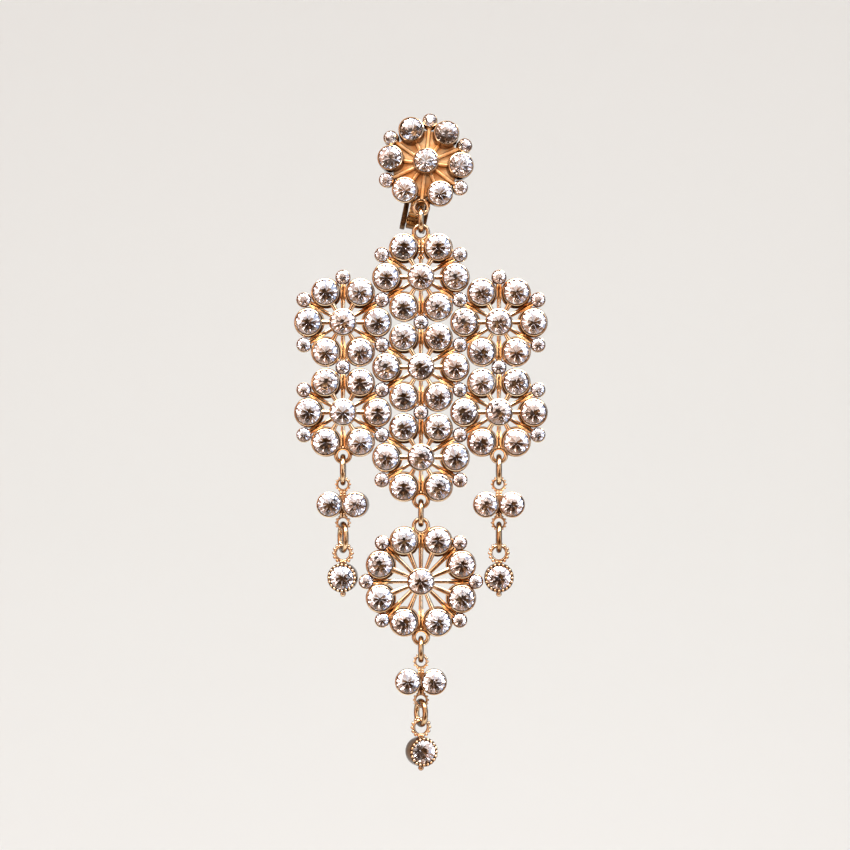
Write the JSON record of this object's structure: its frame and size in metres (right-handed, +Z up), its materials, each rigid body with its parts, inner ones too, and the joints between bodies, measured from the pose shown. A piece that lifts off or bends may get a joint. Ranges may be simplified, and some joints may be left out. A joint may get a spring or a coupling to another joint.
{
  "type": "chandelier earring",
  "caption": "Long clip-on chandelier earring: domed flower stud, hexagonal pierced drop of stone-set flowers, round pendant and small hanging drops.",
  "frame": {"origin": "middle of the stud's flat back, where the ear lobe rests against it", "axes": "+X to the right of someone facing the earring, +Y from the stud's back towards the ear, +Z up as it hangs"},
  "size_m": [0.0352, 0.0113, 0.0921],
  "materials": {
    "gold_plate": "polished cast metal with warm light gold plate",
    "jump_rings": "polished gold-plated round wire",
    "clip_metal": "smooth gold-plated spring metal, slightly darker",
    "crystal": "clear cut glass with a foiled back"
  },
  "bodies": {
    "stud": {"stud_setting": "gold_plate", "stud_stone_centre": "crystal", "stud_stone_1": "crystal", "stud_stone_2": "crystal", "stud_stone_3": "crystal", "stud_stone_4": "crystal", "stud_stone_5": "crystal", "stud_stone_6": "crystal"},
    "clip_lever": {"clip_lever": "clip_metal"},
    "top_ring": {"top_link": "jump_rings"},
    "main_drop": {"main_setting": "gold_plate", "main_stone_1": "crystal", "main_stone_2": "crystal", "main_stone_3": "crystal", "main_stone_4": "crystal", "main_stone_5": "crystal", "main_stone_6": "crystal", "main_stone_7": "crystal", "left_link": "jump_rings", "left_pair_setting": "gold_plate", "left_pair_stone_1": "crystal", "left_pair_stone_2": "crystal", "left_end_link": "jump_rings", "left_end_setting": "gold_plate", "left_end_stone": "crystal", "right_link": "jump_rings", "right_pair_setting": "gold_plate", "right_pair_stone_1": "crystal", "right_pair_stone_2": "crystal", "right_end_link": "jump_rings", "right_end_setting": "gold_plate", "right_end_stone": "crystal"},
    "pendant": {"pendant_link": "jump_rings", "pendant_setting": "gold_plate", "pendant_stone_centre": "crystal", "pendant_stone_1": "crystal", "pendant_stone_2": "crystal", "pendant_stone_3": "crystal", "pendant_stone_4": "crystal", "pendant_stone_5": "crystal", "pendant_stone_6": "crystal", "pendant_stone_7": "crystal", "pendant_stone_8": "crystal", "lower_link": "jump_rings", "lower_pair_setting": "gold_plate", "lower_pair_stone_1": "crystal", "lower_pair_stone_2": "crystal", "lower_end_link": "jump_rings", "lower_end_setting": "gold_plate", "lower_end_stone": "crystal"}
  },
  "joints": [
    {"name": "clip_hinge", "type": "hinge", "parent": "stud", "child": "clip_lever", "pos_m": [-0.00164, 0.0019, -0.00773], "axis": [-0.9781, 0, 0.2079], "range_deg": [0, 80], "stiffness_Nm_per_rad": 0.004, "springref_deg": -34.38},
    {"name": "drop_swing", "type": "hinge", "parent": "stud", "child": "top_ring", "pos_m": [-0.00064, -0.00285, -0.00706], "axis": [1, 0, 0], "range_deg": [-35, 20]},
    {"name": "drop_sway", "type": "hinge", "parent": "top_ring", "child": "main_drop", "pos_m": [-0.00064, -0.00285, -0.0094], "axis": [0, 1, 0], "range_deg": [-25, 25]},
    {"name": "pendant_swing", "type": "hinge", "parent": "main_drop", "child": "pendant", "pos_m": [-0.00064, -0.00285, -0.04807], "axis": [1, 0, 0], "range_deg": [-35, 35]}
  ]
}
